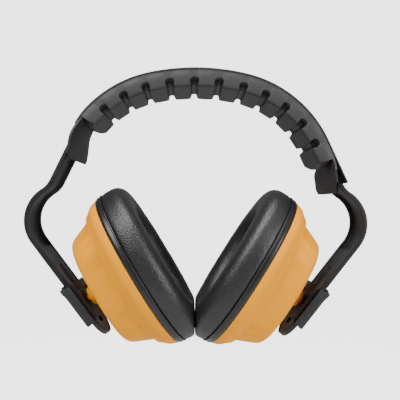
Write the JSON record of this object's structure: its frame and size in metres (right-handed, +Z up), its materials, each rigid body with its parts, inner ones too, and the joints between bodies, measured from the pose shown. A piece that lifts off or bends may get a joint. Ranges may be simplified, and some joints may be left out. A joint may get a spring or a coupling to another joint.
{
  "type": "earmuff hearing protector",
  "caption": "Over-head earmuffs: sprung slotted band with a grooved padded sleeve, sliding clips, ball studs and deep oval ear cups with soft sealing cushions.",
  "frame": {"origin": "middle of the head pad's underside at the crown, where the top of the head meets it", "axes": "+X towards the right-hand cup as seen from -Y, +Y front to back across the band, +Z up from the cups to the crown"},
  "size_m": [0.1918, 0.08, 0.1548],
  "materials": {
    "black_plastic": "satin black moulded plastic",
    "grey_vinyl": "dark grey grained vinyl sheet",
    "cushion_vinyl": "soft black grained vinyl with a satin sheen",
    "dark_foam": "open-cell dark grey foam",
    "yellow_plastic": "smooth orange-yellow moulded plastic with a satin gloss"
  },
  "bodies": {
    "headband": {"headband": "black_plastic", "sleeve_cover": "grey_vinyl", "sleeve_pad_skin": "grey_vinyl", "sleeve_foam": "dark_foam"},
    "left_slider": {"left_slider_clip": "black_plastic", "left_socket_plate": "black_plastic"},
    "left_stud": {"left_ball_stud": "yellow_plastic"},
    "left_cup": {"left_cup_shell": "yellow_plastic", "left_seal_plate": "black_plastic", "left_cushion_backing": "black_plastic", "left_cushion_foam": "dark_foam", "left_cushion_skin": "cushion_vinyl", "left_acoustic_foam": "dark_foam"},
    "right_slider": {"right_slider_clip": "black_plastic", "right_socket_plate": "black_plastic"},
    "right_stud": {"right_ball_stud": "yellow_plastic"},
    "right_cup": {"right_cup_shell": "yellow_plastic", "right_seal_plate": "black_plastic", "right_cushion_backing": "black_plastic", "right_cushion_foam": "dark_foam", "right_cushion_skin": "cushion_vinyl", "right_acoustic_foam": "dark_foam"}
  },
  "joints": [
    {"name": "left_slide", "type": "slide", "parent": "headband", "child": "left_slider", "axis": [-0.6088, 0, 0.7934], "range_m": [0, 0.01]},
    {"name": "left_tilt", "type": "hinge", "parent": "left_slider", "child": "left_stud", "pos_m": [-0.06322, 0, -0.1206], "axis": [0, 1, 0], "range_deg": [0, 10]},
    {"name": "left_swivel", "type": "hinge", "parent": "left_stud", "child": "left_cup", "pos_m": [-0.06322, 0, -0.1206], "axis": [0.5225, 0, -0.8526], "range_deg": [-8, 8]},
    {"name": "right_slide", "type": "slide", "parent": "headband", "child": "right_slider", "axis": [0.6088, 0, 0.7934], "range_m": [0, 0.01]},
    {"name": "right_tilt", "type": "hinge", "parent": "right_slider", "child": "right_stud", "pos_m": [0.06322, 0, -0.1206], "axis": [0, -1, 0], "range_deg": [0, 10]},
    {"name": "right_swivel", "type": "hinge", "parent": "right_stud", "child": "right_cup", "pos_m": [0.06322, 0, -0.1206], "axis": [-0.5225, 0, -0.8526], "range_deg": [-8, 8]}
  ]
}
